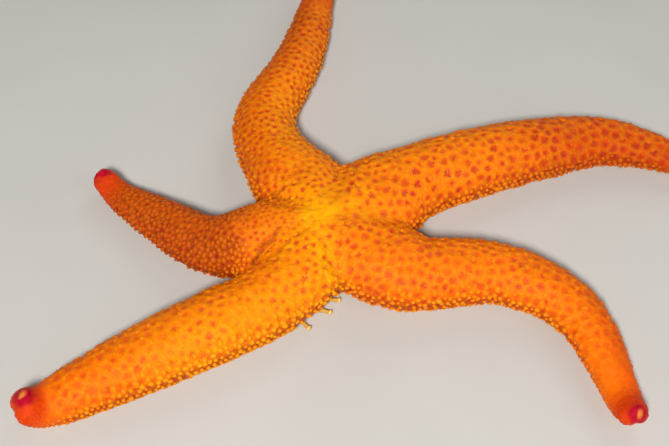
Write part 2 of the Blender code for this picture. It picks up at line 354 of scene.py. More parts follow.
class Places:
    """Where points lie on the animal: which arm, how far out, and how far round its section."""

    def __init__(self, points, lines):
        tree = tree_of(np.concatenate(
            [line.path + line.up * (WIDEST_AT * line.tall)[:, None] for line in lines]))
        nearest = np.array([tree.find(point)[1] for point in points])

        def near(part):
            return np.concatenate([getattr(line, part) for line in lines])[nearest]

        offset = points - near("path")
        tall = near("tall")
        self.arm = np.repeat(np.arange(len(lines)), [len(line.reach) for line in lines])[nearest]
        self.reach = np.clip(near("reach") + np.sum(offset * near("forward"), axis=1), 0, None)
        self.to_tip = np.array([line.total for line in lines])[self.arm] - self.reach
        across = np.sum(offset * near("right"), axis=1)
        rise = np.sum(offset * near("up"), axis=1)
        self.angle = np.degrees(np.arctan2(across, rise - WIDEST_AT * tall))
        self.girth = (near("wide") + tall) / 4

    def under(self):
        """0 on the back and the flanks, 1 on the sole."""
        return ease((np.abs(self.angle) - 108) / 34)

    def flank(self):
        """0 on the back, 1 low on the flanks and below."""
        return ease((np.abs(self.angle) - 52) / 42)

    def look(self, part):
        """One of the numbers in which the arms differ."""
        return np.array([LOOKS[name][part] for name in ARMS])[self.arm]

    def calm(self):
        """0 on an arm's smooth end, 1 farther in."""
        length = self.look("calm")
        return ease((self.to_tip - length * 0.3) / (length * 0.7))

    def knobby(self):
        """0 where the skin is plain, 1 where it is full of knobs."""
        start = mix(46, self.look("knobs_from"), ease((self.reach - 12) / 14))
        return ease((np.abs(self.angle) - start) / 44)

    def unwrap(self):
        """Places on the skin's own unwrap, one chart for each arm."""
        flat = np.stack([np.radians(self.angle) * self.girth, self.reach], axis=1) / CHART_SCALE
        corners, lies = (np.array(rows)[self.arm] for rows in zip(*map(CHARTS.get, ARMS)))
        return corners + np.where(lies[:, None], flat[:, ::-1], flat)


# The middle of each chart's disc end, and whether the chart lies on its side.
CHARTS = {
    "right": ((0.168, 0.006), False),
    "front_right": ((0.500, 0.006), False),
    "back": ((0.832, 0.006), False),
    "front_left": ((0.010, 0.740), True),
    "left": ((0.640, 0.610), False),
}


# ---- meshes from arrays
def add_piece(name, points, faces, tint, flat, look):
    """A piece from points in millimetres and faces of one size.

    tint has a colour for each point, and flat a place on the unwrap for each corner of a face.
    """
    mesh = bpy.data.meshes.new(name)
    mesh.vertices.add(len(points))
    mesh.vertices.foreach_set("co", (points * MM).astype(np.float32).ravel())
    mesh.loops.add(faces.size)
    mesh.loops.foreach_set("vertex_index", faces.astype(np.int32).ravel())
    mesh.polygons.add(len(faces))
    mesh.polygons.foreach_set(
        "loop_start", np.arange(0, faces.size, faces.shape[1], dtype=np.int32))
    mesh.update(calc_edges=True)
    mesh.shade_smooth()
    colours = np.ones((len(tint), 4), dtype=np.float32)
    colours[:, :3] = np.clip(tint, 0, 1)
    layer = mesh.attributes.new("tint", "FLOAT_COLOR", "POINT")
    layer.data.foreach_set("color", colours.ravel())
    layer = mesh.uv_layers.new(name="OFBake")
    layer.data.foreach_set("uv", flat.astype(np.float32).ravel())
    piece = add_object(name, mesh)
    mesh.materials.append(look)
    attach(piece, "root")
    return piece


def add_single(name, points, faces, tint, lines, look, node):
    """A piece that replaces one solid."""
    flat = Places(points, lines).unwrap()[faces.ravel()]
    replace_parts(add_piece(name, points, faces, tint, flat, look), node)


def ring_faces(rings, sides):
    """Triangles between rings of points that follow one another."""
    faces = []
    for ring in range(rings - 1):
        for side in range(sides):
            low, after = ring * sides + side, ring * sides + (side + 1) % sides
            faces += [(low, after, after + sides), (low, after + sides, low + sides)]
    return faces


def edges_of(faces):
    pairs = np.concatenate([faces[:, [i, (i + 1) % faces.shape[1]]] for i in range(faces.shape[1])])
    return np.unique(np.sort(pairs, axis=1), axis=0)


def neighbour_mean(rows, edges):
    counts = np.maximum(np.bincount(edges.ravel(), minlength=len(rows)), 1)
    first, second = edges.T
    total = [np.bincount(first, row[second], len(rows))
             + np.bincount(second, row[first], len(rows)) for row in rows.T]
    return np.stack(total, axis=1) / counts[:, None]


def smooth(points, edges, pushes):
    """Moves the points by shares of the way to their neighbours' mean."""
    for push in pushes:
        points = points + (neighbour_mean(points, edges) - points) * push
    return points


def filled(points, faces, edges, above, around):
    """Fills the hollows by shares, one for those that face up and one for all of them."""
    soft = smooth(points, edges, [0.7] * 100)
    normals = point_normals(points, faces)
    lift = np.clip(np.sum((soft - points) * normals, axis=1), 0, None)
    share = np.maximum(above * ease((normals[:, 2] - 0.2) / 0.5), around)
    return points + normals * (lift * share)[:, None]


def crossed(points, faces):
    """The cross product of each quad's diagonals: its normal, as long as twice its area."""
    first, second, third, fourth = (points[corners] for corners in faces.T)
    return np.cross(third - first, fourth - second)


def point_normals(points, faces):
    face_normals = crossed(points, faces)
    result = np.zeros_like(points)
    for corners in faces.T:
        for axis in range(3):
            result[:, axis] += np.bincount(corners, face_normals[:, axis], len(points))
    return unit(result)


# ---- the flesh
FLESH = ["disc"] + [f"arm_{arm}_{length}" for arm in ARMS for length in LENGTHS]


def swollen_flesh(nodes):
    """All the solids of flesh in one mesh, each swollen to close the thin cuts between them."""
    whole = bmesh.new()
    for name in FLESH:
        solid = bmesh.new()
        solid.from_mesh(nodes[name].data)
        solid.transform(nodes[name].matrix_world)
        bmesh.ops.remove_doubles(solid, verts=solid.verts, dist=0.00001)
        solid.normal_update()
        for vertex in solid.verts:
            vertex.co += vertex.normal * (SWELL * MM)
        part = bpy.data.meshes.new("part")
        solid.to_mesh(part)
        solid.free()
        whole.from_mesh(part)
        bpy.data.meshes.remove(part)
    mesh = bpy.data.meshes.new("flesh")
    whole.to_mesh(mesh)
    whole.free()
    return mesh


def remeshed(mesh):
    """One closed mesh of quads over everything, as points and faces."""
    holder = add_object("flesh", mesh)
    remesh = holder.modifiers.new("remesh", "REMESH")
    remesh.mode = "VOXEL"
    remesh.voxel_size = VOXEL * MM
    bpy.context.view_layer.update()
    shown = holder.evaluated_get(bpy.context.evaluated_depsgraph_get())
    result = bpy.data.meshes.new_from_object(shown)
    points = np.empty(len(result.vertices) * 3, dtype=np.float32)
    result.vertices.foreach_get("co", points)
    faces = np.empty(len(result.loops), dtype=np.int32)
    result.loops.foreach_get("vertex_index", faces)
    bpy.data.objects.remove(holder)
    bpy.data.meshes.remove(mesh)
    bpy.data.meshes.remove(result)
    return points.reshape(-1, 3).astype(float) / MM, faces.reshape(-1, 4)


# ---- spreading roots over the skin
def spread(points, order, spacing):
    """The points kept, taken in order, so that none is nearer to another than its spacing."""
    keys = np.floor(points / float(spacing.max())).astype(int).tolist()
    spots = points.tolist()
    limits = (spacing ** 2).tolist()
    cells = {}
    kept = []
    around = [(x, y, z) for x in (-1, 0, 1) for y in (-1, 0, 1) for z in (-1, 0, 1)]
    for index in order.tolist():
        left, front, low = keys[index]
        x, y, z = spots[index]
        limit = limits[index]
        others = (other for right, back, up in around
                  for other in cells.get((left + right, front + back, low + up), ()))
        if all((a - x) ** 2 + (b - y) ** 2 + (c - z) ** 2 >= limit for a, b, c in others):
            cells.setdefault((left, front, low), []).append((x, y, z))
            kept.append(index)
    return np.array(kept)


class Scatter:
    """Random places on the skin: faces, and weights of their corners."""

    def __init__(self, points, faces, count, seed):
        random = np.random.default_rng(seed)
        area = np.linalg.norm(crossed(points, faces), axis=1)
        self.faces = faces[random.choice(len(faces), count, p=area / area.sum())]
        across, along = random.random((2, count))
        self.weights = np.stack([(1 - across) * (1 - along), across * (1 - along),
                                 across * along, (1 - across) * along], axis=1)

    def read(self, rows):
        """Values at the places, from values at the skin's points."""
        flat = rows.ndim == 1
        return np.sum(rows[self.faces] * (self.weights if flat else self.weights[:, :, None]), axis=1)


def distances(points, roots, count):
    """Distances from each point to its nearest roots, and the nearest root."""
    tree = tree_of(roots)
    found = [tree.find_n(point, count) for point in points]
    return (np.array([[item[2] for item in row] for row in found]),
            np.array([row[0][1] for row in found]))


# ---- folds and markings
def folds(points, centre):
    """How deep the folds at the axils make the skin at each place, how much painted shade browns
    their lines, and how yellow they turn it.
    """
    deep, crease_shade, glow = np.zeros((3, len(points)))
    wander = 0.35 * waves(points, 6.0, 5, SEED + 10)
    high = ease((points[:, 2] - 3.0) / 4.0)
    for axil, fold in CREASES.items():
        bearing, distance = AXILS[axil]
        offset = points - centre - on_bearing(bearing) * distance
        ahead = bearing + 180 + fold["bend"]
        along = offset @ on_bearing(ahead)
        aside = offset @ on_bearing(ahead - 90) + wander * ease(along / 4)
        aside += fold["bow"] * (along / fold["length"]) ** 2
        within = high * ease((along + 3) / 3) * (1 - ease(along / fold["length"] * 1.6 - 0.6))
        line = np.exp(-(aside / CREASE_WIDE) ** 2) * within
        wrinkles = np.cos(aside * 4.2) * np.exp(-(aside / 2.4) ** 2) * within
        deep += fold["deep"] * line - 0.06 * wrinkles
        crease_shade += fold["crease_shade"] * np.clip(line * 1.2 - 0.1 * wrinkles, 0, 1)
        glow += fold["glow"] * np.exp(-((aside + 1.6) / 2.2) ** 2) * within
    return deep, np.clip(crease_shade, 0, 1), np.clip(glow, 0, 1)


def arm_shares(places, points, lines):
    """How much each place has of each arm's looks: a blend over the disc, one arm farther out."""
    offset = points - lines[0].centre
    bearing = np.degrees(np.arctan2(offset[:, 1], offset[:, 0]))
    near = np.stack([np.exp(-(turned_by(bearing, line.bearing) / 30) ** 2) for line in lines], 1)
    near /= near.sum(axis=1, keepdims=True)
    own = np.eye(len(lines))[places.arm]
    return near + (own - near) * ease((places.reach - 15) / 12)[:, None]


def arm_hues(places, shares, part):
    """Colours of the arms, blended from an arm's left side to its right side: partly their own
    colour, partly painted light and shade on the lit and the shaded side.
    """
    pairs = srgb([LOOKS[name][part] for name in ARMS])
    left, right = shares @ pairs[:, 0], shares @ pairs[:, 1]
    aside = mix(0.5, ease((places.angle + 35) / 70), ease((places.reach - 10) / 12))
    return blend(left, right, aside)


def base_tint(places, points, lines):
    """The animal's colour at each place, without pits and crests."""
    reach = places.reach
    _, crease_shade, glow = folds(points, lines[0].centre)
    shares = arm_shares(places, points, lines)
    outer = arm_hues(places, shares, "outer")
    tint = blend(arm_hues(places, shares, "inner"), outer, ease((reach - 40) / 36))
    # The left arm takes its deeper outer hue nearer the disc, partly its own colour and partly
    # painted shade.
    left = places.arm == list(ARMS).index("left")
    tint = blend(tint, outer, left * ease((reach - 15) / 12) * 0.9)
    cloud = 0.5 + 0.25 * waves(points, 9.0, 7, SEED + 1)
    tint = blend(tint, tint * 0.80, np.clip(cloud, 0, 1) * 0.6)
    ragged = waves(points, 7.0, 5, SEED + 11)
    yellow = shares @ np.array([LOOKS[name]["glow"] for name in ARMS])
    tint = blend(tint, HUES["disc"], (1 - ease((reach + 2.0 * ragged - 5) / 14)) * yellow)
    from_core = np.linalg.norm((points - lines[0].centre)[:, :2] - np.array(CORE_PLACE), axis=1)
    core = 1 - ease((from_core + 1.2 * ragged - 1.0) / 6.0)
    patches = ease(waves(points, 5.0, 7, SEED + 14) - 0.5) * (1 - ease((reach - 10) / 26)) * 0.7
    patches *= yellow * (places.angle < 30)
    tint = blend(tint, HUES["core"], np.maximum(np.maximum(core, glow), patches))
    tint = blend(tint, HUES["sole"], places.under() * 0.75)
    # Painted shade: the folds' lines browned where shade falls into them.
    tint = blend(tint, HUES["fold"], crease_shade)
    tint = blend(tint, HUES["tip"], 1 - ease((places.to_tip - 3) / 11))
    ragged = 0.35 * waves(points, 3.0, 5, SEED + 2)
    for line in lines:
        near_eye = np.linalg.norm(points - line.eye, axis=1) + ragged
        tint = blend(tint, HUES["crimson"], 0.95 * (1 - ease((near_eye - 2.1) / 1.9)))
    return tint


def marked(tint, hue, share, plain=None):
    """A tint with a marking on it that keeps the shade of the plain tint."""
    shade = np.clip((tint if plain is None else plain)[:, :1] / HUES["arm"][0], 0.3, 1.1)
    return blend(tint, HUES[hue] * shade, share)


def spine_height(places):
    """How tall the spines stand: the skin lies that much inside the solids."""
    height = mix(SPINE_BACK, SPINE_FLANK, places.flank())
    height = mix(height, SPINE_SOLE, places.under())
    height *= 1 + 0.45 * np.exp(-((np.abs(places.angle) - FRINGE_AT) / 9) ** 2)
    return height * mix(0.3, 1.0, ease((places.to_tip - 2) / 14))


# ---- the skin
def papular_areas(ground, faces, lines):
    """Papular areas on the back and the flanks, and the papulae in each."""
    candidates = Scatter(ground, faces, 110000, SEED + 4)
    spots = candidates.read(ground)
    random = np.random.default_rng(SEED + 5)
    places = Places(spots, lines)
    back = np.flatnonzero((np.abs(places.angle) < 116) & (places.reach > 2.5))
    grain = places.look("grain")
    chosen = spread(spots, back, random.uniform(*AREA_SPACING, len(spots)) * grain)
    areas = spots[chosen]
    radii = random.uniform(*AREA_RADII, len(areas)) * grain[chosen]
    patchy = 0.8 + 0.2 * waves(areas, 12.0, 6, SEED + 12)
    vigour = np.clip(patchy * random.uniform(0.55, 1.35, len(areas)), 0.2, 1.1)
    vigour *= mix(0.85, places.look("dots")[chosen], ease((places.reach[chosen] - 8) / 14))
    gaps, owner = distances(spots[back], areas, 1)
    inside = gaps[:, 0] < radii[owner] * 0.85
    dots = spread(spots, back[inside], np.full(len(spots), DOT_SPACING))
    owner_of = np.zeros(len(spots), dtype=int)
    owner_of[back] = owner
    dot_vigour = vigour[owner_of[dots]] * random.uniform(0.4, 1.1, len(dots))
    return dict(areas=areas, radii=radii, vigour=vigour, dots=spots[dots], dot_vigour=dot_vigour)


def make_skin(points, faces, lines, look):
    """The skin's piece, and what the coat needs to grow from it."""
    edges = edges_of(faces)
    places = Places(points, lines)
    at_disc, at_tip = 1 - ease((places.reach - 18) / 10), 1 - ease((places.to_tip - 2) / 7)
    for _ in range(2):
        points = filled(points, faces, edges, at_disc, at_tip)
    normals = point_normals(points, faces)
    for _ in range(6):
        normals = unit(neighbour_mean(normals, edges))
    ground = points - normals * (SWELL + NET_RISE + spine_height(places) * 0.8)[:, None]
    deep, crease_shade, _ = folds(points, lines[0].centre)
    uneven = 0.08 * waves(points, 7.0, 6, SEED + 3) + GRAIN_RISE * waves(points, 1.7, 9, SEED + 13)
    ground += normals * (uneven - deep)[:, None]

    pattern = papular_areas(ground, faces, lines)
    gaps, owner = distances(ground, pattern["areas"], 2)
    calm = places.calm() * (1 - places.under())
    radius = pattern["radii"][owner]
    out = gaps[:, 0] / radius + 0.14 * waves(ground, 1.6, 7, SEED + 16)
    vigour = pattern["vigour"][owner] * calm * mix(0.35, 1.0, ease((places.reach - 3) / 7))
    bowl = (1 - ease((out - 0.3) / 0.85)) * vigour
    net = (1 - ease((gaps[:, 1] - gaps[:, 0]) / NET_WIDE)) * calm
    to_dot, dot = distances(ground, pattern["dots"], 1)
    pit = np.exp(-(to_dot[:, 0] / DOT_RADIUS) ** 2) * pattern["dot_vigour"][dot] * calm
    relief = net * NET_RISE - bowl * AREA_DEEP - pit * DOT_DEEP
    skin_points = ground + normals * relief[:, None]
    skin_points[:, 2] = np.maximum(skin_points[:, 2], SKIN_CLEAR)

    tint = base_tint(places, points, lines)
    # The skin between the knobs is partly its own red and partly painted shade between the knobs,
    # stronger low on the flanks.
    gap_and_shade = mix(0.25, places.look("gaps"), ease((places.reach - 12) / 10)) * places.knobby()
    gap_and_shade = np.maximum(gap_and_shade, 0.55 * places.flank()) * calm
    tint = marked(tint, "gap_and_shade", gap_and_shade)
    # Painted shade: the lower flanks darkened where they turn under towards the floor.
    low = ease((np.abs(places.angle) - 70) / 24) * (1 - places.under())
    tint = blend(tint, HUES["low_flank_shade"], low * 0.55 * calm)
    tint = marked(tint, "net", net * 0.45 * (1 - crease_shade))
    tint = marked(tint, "area", np.clip(bowl * 1.3, 0, 1) * 0.85)
    tint = marked(tint, "dot", np.clip(pit * 1.2, 0, 1) * 0.5)
    # A pink heart in each papular area: partly the papulae's pink, partly a painted highlight.
    heart = np.exp(-(out / 0.4) ** 2) * vigour * (waves(ground, 15.0, 5, SEED + 15) > -0.2)
    tint = marked(tint, "area_pink_sheen", np.clip(heart, 0, 1) * 0.6)

    piece = add_piece("skin", skin_points, faces, tint, skin_unwrap(places, faces), look)
    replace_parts(piece, *FLESH)
    return dict(points=skin_points, normals=normals, faces=faces, tint=tint, pattern=pattern)


def skin_unwrap(places, faces):
    """Unwrap for the corners of the skin's faces, each face whole in one arm's chart."""
    size = faces.shape[1]
    part = picked(places, faces.ravel())
    angle = part.angle.reshape(-1, size)
    part.angle = (angle[:, :1] + turned_by(angle, angle[:, :1])).ravel()
    owner = np.repeat(places.arm[faces[:, 0]], size)
    foreign = (part.arm != owner).reshape(-1, size)[:, :, None]
    part.arm = owner
    flat = part.unwrap().reshape(-1, size, 2)
    return np.where(foreign, flat[:, :1], flat).reshape(-1, 2)


# ---- coat templates
def turned_template(sides, *profile):
    """A closed turned body: rings of (radius, height), then the point at its top."""
    *rings, peak = profile
    points = []
    for radius, height in rings:
        for side in range(sides):
            angle = 2 * math.pi * side / sides
            points.append((radius * math.cos(angle), radius * math.sin(angle), height))
    points.append(peak)
    top, last = len(rings) * sides, (len(rings) - 1) * sides
    faces = ring_faces(len(rings), sides)
    faces += [(last + side, last + (side + 1) % sides, top) for side in range(sides)]
    faces += [(0, side + 1, side) for side in range(1, sides - 1)]
    return np.array(points), np.array(faces)


def coat_piece(name, template, look, slot, seed, roots, normals, radii, heights, foot, top, unwrap,
               lean=0.12, across=None, stretch=1.0, upright=None):
    """Copies of a shape, one on each root, with a colour for each one's foot and its top.

    template is a shape and its faces, or two shapes of the same faces, a low one and an upright
    one, between which upright chooses.
    """
    *forms, faces = template
    shape = forms[-1]
    count = len(roots)
    share = np.ones(count) if upright is None else upright
    shapes = forms[0][None] + (shape - forms[0])[None] * share[:, None, None]
    random = np.random.default_rng(seed)
    axis = unit(normals + random.normal(size=(count, 3)) * lean)
    wild = random.normal(size=(count, 3))
    way = wild if across is None else across + wild * 0.2
    side = unit(way - axis * np.sum(way * axis, axis=1, keepdims=True))
    points = (roots[:, None]
              + shapes[:, :, 0:1] * (side * (radii * stretch)[:, None])[:, None]
              + shapes[:, :, 1:2] * (np.cross(axis, side) * radii[:, None])[:, None]
              + shapes[:, :, 2:3] * (axis * heights[:, None])[:, None]).reshape(-1, 3)
    points[:, 2] = np.maximum(points[:, 2], COAT_CLEAR)
    faces = (faces + (np.arange(count) * len(shape))[:, None, None]).reshape(-1, 3)
    rise = ease(shape[:, 2])[None, :, None]
    tint = (foot[:, None] * (1 - rise) + top[:, None] * rise).reshape(-1, 3)
    flat = unwrap[:, None] + shape[None, :, :2] / np.abs(shape[:, :2]).max() * PATCH
    add_piece(name, points, faces, tint, flat.reshape(-1, 2)[faces.ravel()], look)


def add_coat(kind, template, places, lines, look, seed, lined=False, **rows):
    """A piece of coat for each arm, from rows with a value for each body."""
    rows["unwrap"] = places.unwrap()
    for number, line in enumerate(lines):
        mine = places.arm == number
        own = {name: values[mine] for name, values in rows.items()}
        if lined:
            own["across"] = line.at(places.reach[mine], line.right)
        coat_piece(f"{kind}_{line.name}", template, look, "skin_root", seed + number, **own)


LOW_SPINE, SPINE_FACES = turned_template(
    10, (2.4, -3.2), (1.95, -1.2), (1.5, -0.1), (1.05, 0.52), (0.56, 0.88), (0, 0, 1))
TALL_SPINE, _ = turned_template(
    10, (1.38, -0.7), (1.28, -0.35), (1.14, 0), (1.06, 0.42), (0.78, 0.80), (0, 0, 1))
PAPULA = turned_template(7, (1.15, -1.2), (1, 0), (0.72, 0.72), (0.35, 0.96), (0, 0, 1))
TUBE_FOOT = turned_template(
    8, (0.9, -0.1), (0.8, 0.25), (0.7, 0.7), (0.75, 0.88), (1.1, 0.93), (1.05, 0.99), (0, 0, 1))


# ---- the coat
def row_misfit(places):
    """How far places lie from the rows in which the sole's spines stand."""
    half_groove = GROOVE_WIDE / 2 + 0.3
    from_groove = np.radians(180 - np.abs(places.angle)) * places.girth - half_groove
    row = np.round(from_groove / ROW_SPACING)
    aside = np.abs(from_groove - row * ROW_SPACING)
    beat = places.reach / ROW_SPACING + 0.5 * (row % 2)
    along = np.abs(beat - np.round(beat)) * ROW_SPACING
    return np.hypot(aside, along) + np.where(from_groove < 0, 10, 0)


def spine_roots(skin, lines):
    """Where spines grow: between the areas on the back, and in rows on the flanks and below."""
    candidates = Scatter(skin["points"], skin["faces"], 190000, SEED + 6)
    spots = candidates.read(skin["points"])
    places = Places(spots, lines)
    pattern = skin["pattern"]
    gaps, owner = distances(spots, pattern["areas"], 1)
    random = np.random.default_rng(SEED + 7)
    low = np.abs(places.angle) > ROWS_BELOW + random.normal(0, 5, len(spots))
    rim = gaps[:, 0] / pattern["radii"][owner] + random.normal(0, 0.15, len(spots))
    misfit = row_misfit(places) + random.normal(0, 0.06, len(spots))
    score = np.where(low, 2.0 - misfit, rim)
    fit = np.where(low, misfit < 0.45, rim > 0.9)
    fit &= places.reach > MOUTH_EDGE
    fit &= places.to_tip > SEAT_BACK + 0.6
    order = np.flatnonzero(fit)
    order = order[np.argsort(-score[order], kind="stable")]
    small = mix(0.72, 1.0, ease((places.to_tip - 2) / 16))
    on_back = mix(*SPINE_SPACING, places.knobby()) * mix(0.6, 1.0, places.look("grain"))
    spacing = np.where(low, ROW_SPACING * 0.82, on_back) * small
    return picked(candidates, spread(spots, order, spacing))


def add_spines(skin, lines, look):
    chosen = spine_roots(skin, lines)
    roots = chosen.read(skin["points"])
    normals = unit(chosen.read(skin["normals"]))
    places = Places(roots, lines)
    random = np.random.default_rng(SEED + 8)
    count = len(roots)
    flank, knobby = places.flank(), places.knobby()
    smooth_middle = mix(0.35, 1.0, ease((places.reach - 4) / 12))
    heights = spine_height(places) * random.uniform(0.7, 1.1, count) * smooth_middle
    heights += 0.12 * knobby * (1 - flank)
    calm = np.maximum(places.calm(), places.under()) * ease(places.to_tip / 12)
    heights *= mix(0.45, 1.0, calm)
    stout = mix(*SPINE_RADII, knobby) * mix(0.5, 1.0, calm)
    radii = stout * mix(0.45, 1.0, places.look("grain")) * random.uniform(0.8, 1.2, count)
    stretch = mix(SPINE_STRETCH, 1.0, flank) * random.uniform(0.8, 1.2, count)
    foot = chosen.read(skin["tint"])
    plain = blend(foot, base_tint(places, roots, lines), np.clip(knobby * 1.5, 0, 1))
    bright = (0.10 + 0.35 * knobby + 0.15 * flank) * mix(0.25, 1.0, calm)
    bright += random.normal(0, 0.12, count) * mix(0.3, 1.0, knobby) * calm
    bright *= mix(1.0, places.look("crest"), ease((places.reach - 12) / 20))
    top = marked(plain, "crest", np.clip(bright, 0, 1))
    add_coat("spines", (LOW_SPINE, TALL_SPINE, SPINE_FACES), places, lines, look, SEED + 20,
             lined=True, roots=roots, normals=normals, radii=radii, heights=heights, foot=foot,
             top=top, lean=mix(0.02, 0.12, flank)[:, None], stretch=stretch, upright=flank)


def add_papulae(skin, lines, look):
    """A low soft papula in each pit of the papular areas."""
    random = np.random.default_rng(SEED + 9)
    pattern = skin["pattern"]
    tree = tree_of(skin["points"])
    nearest = np.array([tree.find(dot)[1] for dot in pattern["dots"]])
    roots = skin["points"][nearest]
    places = Places(roots, lines)
    count = len(roots)
    vigour = pattern["dot_vigour"] * places.calm()
    vigour *= mix(0.3, 1.0, ease((places.reach - 3) / 8))
    base = base_tint(places, roots, lines)
    foot = marked(base, "dot", np.clip(vigour * 1.2, 0, 1))
    # The papulae's tops turn paler pink: partly their own colour, partly a painted highlight.
    heart = np.clip(random.normal(0.45, 0.3, count), 0, 1) * np.clip(vigour * 1.5, 0, 1)
    radii = PAPULA_RADIUS * random.uniform(0.7, 1.15, count) * np.clip(0.5 + 0.6 * vigour, 0, 1)
    add_coat("papulae", PAPULA, places, lines, look, SEED + 40, roots=roots,
             normals=skin["normals"][nearest], radii=radii,
             heights=PAPULA_TALL * random.uniform(0.6, 1.5, count), foot=foot,
             top=marked(foot, "dot_pink_sheen", heart, base))


def add_tube_feet(lines, look):
    """Two rows of tube feet in the groove of each arm."""
    for number, line in enumerate(lines):
        random = np.random.default_rng(SEED + 60 + number)
        reach = np.arange(MOUTH_EDGE + 0.8, line.total - 4.0, TUBE_SPACING)
        reach = np.concatenate([reach, reach + TUBE_SPACING / 2])
        side = np.repeat([-1.0, 1.0], len(reach) // 2)
        share = line.groove_share(reach)
        up, right = line.at(reach, line.up), line.at(reach, line.right)
        roots = (line.at(reach, line.path) + up * (GROOVE_DEEP * share + 0.35)[:, None]
                 + right * (side * 0.85 * share)[:, None])
        axes = unit(-up + right * (side * 0.12)[:, None])
        heights = (GROOVE_DEEP * share + 0.15) * random.uniform(0.85, 1.0, len(reach))
        radii = TUBE_RADIUS * share * random.uniform(0.9, 1.1, len(reach))
        top = np.tile(HUES["tube"], (len(reach), 1))
        coat_piece(f"tube_feet_{line.name}", TUBE_FOOT, look, "mouth", SEED + 70 + number, roots,
                   axes, radii, heights, mix(top, HUES["sole"], 0.6), top,
                   Places(roots, lines).unwrap())


def swept(path, radii, sides):
    """A closed round body along a path of points, with a radius at each."""
    ahead = unit(np.gradient(path, axis=0))
    side = unit(np.cross(ahead, [0.0, 0.0, 1.0]))
    other = np.cross(side, ahead)
    angle = 2 * math.pi * np.arange(sides) / sides
    round_way = (side[:, None] * np.cos(angle)[None, :, None]
                 + other[:, None] * np.sin(angle)[None, :, None])
    points = (path[:, None] + round_way * radii[:, None, None]).reshape(-1, 3)
    faces = ring_faces(len(path), sides)
    last = (len(path) - 1) * sides
    for step in range(1, sides - 1):
        faces += [(0, step + 1, step), (last, last + step, last + step + 1)]
    return points, np.array(faces)


def add_reaching_feet(lines, look):
    """Tube feet that reach out from the sole, over the floor, beside the front axil."""
    line = next(line for line in lines if line.name == REACHING_ARM)
    count = len(REACHING_FEET)
    share = np.linspace(0.0, 1.0, 22)
    cup = np.exp(-((share - 0.97) / 0.035) ** 2)
    rings = 0.03 * np.cos(share * 70) * (share < 0.9)
    radii = REACHING_RADIUS * (mix(0.72, 0.62, share) + rings + 0.42 * cup)
    radii[-1] *= 0.8
    points, flat = [], []
    for number, (reach, across) in enumerate(REACHING_FEET):
        out = mix(REACHING_START, across, share)
        height = mix(1.5, REACHING_RADIUS * 1.12, ease(share * 2.2))
        path = line.at(reach, line.path) - line.at(reach, line.right) * out[:, None]
        path = path + np.array([0.0, 0.0, 1.0]) * height[:, None]
        path += line.at(reach, line.forward) * (0.5 * np.sin(share * 3 + number * 2))[:, None]
        foot, faces = swept(path, radii, 12)
        points.append(foot)
        corner = Places(foot[:1], lines).unwrap()
        flat.append(corner + (foot - foot[0])[:, :2] / CHART_SCALE * 0.1)
    faces = np.concatenate([faces + len(foot) * number for number in range(count)])
    tint = np.tile(np.repeat(blend(HUES["reaching"], HUES["tube"], cup), 12, axis=0), (count, 1))
    add_piece("reaching_feet", np.concatenate(points), faces, tint,
              np.concatenate(flat)[faces.ravel()], look)


# ---- materials
class Nodes:
    """A material's nodes, made and joined with little writing."""

    def __init__(self, name):
        self.material = bpy.data.materials.new(name)
        self.material.use_nodes = True
        self.tree = self.material.node_tree
        self.shader = self.tree.nodes["Principled BSDF"]

    def fill(self, node, values):
        """Sets a node's inputs, to a value or to another node's output."""
        for name, value in values.items():
            if isinstance(value, bpy.types.NodeSocket):
                self.tree.links.new(value, node.inputs[name])
            else:
                node.inputs[name].default_value = value

    def add(self, kind, values):
        node = self.tree.nodes.new(kind)
        self.fill(node, values)
        return node

    def noise(self, scale, detail=3.0):
        place = self.add("ShaderNodeTexCoord", {}).outputs["Object"]
        return self.add("ShaderNodeTexNoise", {
            "Scale": scale, "Detail": detail, "Roughness": 0.55, "Vector": place}).outputs["Fac"]

    def spread(self, value, low, high):
        """Maps a noise's usual range onto low to high."""
        return self.add("ShaderNodeMapRange", {
            "From Min": 0.3, "From Max": 0.7, "To Min": low, "To Max": high,
            "Value": value}).outputs["Result"]

    def scaled(self, colour, value):
        node = self.add("ShaderNodeVectorMath", {})
        node.operation = "SCALE"
        self.fill(node, {0: colour, "Scale": value})
        return node.outputs["Vector"]


def flesh_look(name, roughness, scatter, mottle, bumps, wet=0.0):
    """Moist skin: its own tint, mottled, with light let in under the surface."""
    nodes = Nodes(name)
    tint = nodes.add("ShaderNodeVertexColor", {})
    tint.layer_name = "tint"
    normal = None
    for scale, strength in bumps:
        under = {} if normal is None else {"Normal": normal}
        normal = nodes.add("ShaderNodeBump", {
            "Strength": strength, "Distance": 0.0002, "Height": nodes.noise(scale),
            **under}).outputs["Normal"]
    coarse = nodes.spread(nodes.noise(900.0, 4.0), 1 - mottle, 1 + mottle)
    nodes.fill(nodes.shader, {
        "Base Color": nodes.scaled(tint.outputs["Color"], coarse),
        "Roughness": nodes.spread(nodes.noise(1500.0), roughness - 0.08, roughness + 0.10),
        "Subsurface Weight": scatter,
        "Subsurface Radius": (1.0, 0.32, 0.08),
        "Subsurface Scale": 0.0012,
        "Specular IOR Level": 0.07,
        "Coat Weight": wet,
        "Coat Roughness": 0.12,
        "Normal": normal,
    })
    return nodes.material


def floor_look():
    nodes = Nodes("floor")
    base = nodes.add("ShaderNodeRGB", {})
    base.outputs[0].default_value = (0.55, 0.54, 0.52, 1.0)
    shade = nodes.spread(nodes.noise(18.0, 5.0), 0.97, 1.03)
    nodes.fill(nodes.shader, {
        "Base Color": nodes.scaled(base.outputs[0], shade),
        "Roughness": 0.8,
    })
    return nodes.material


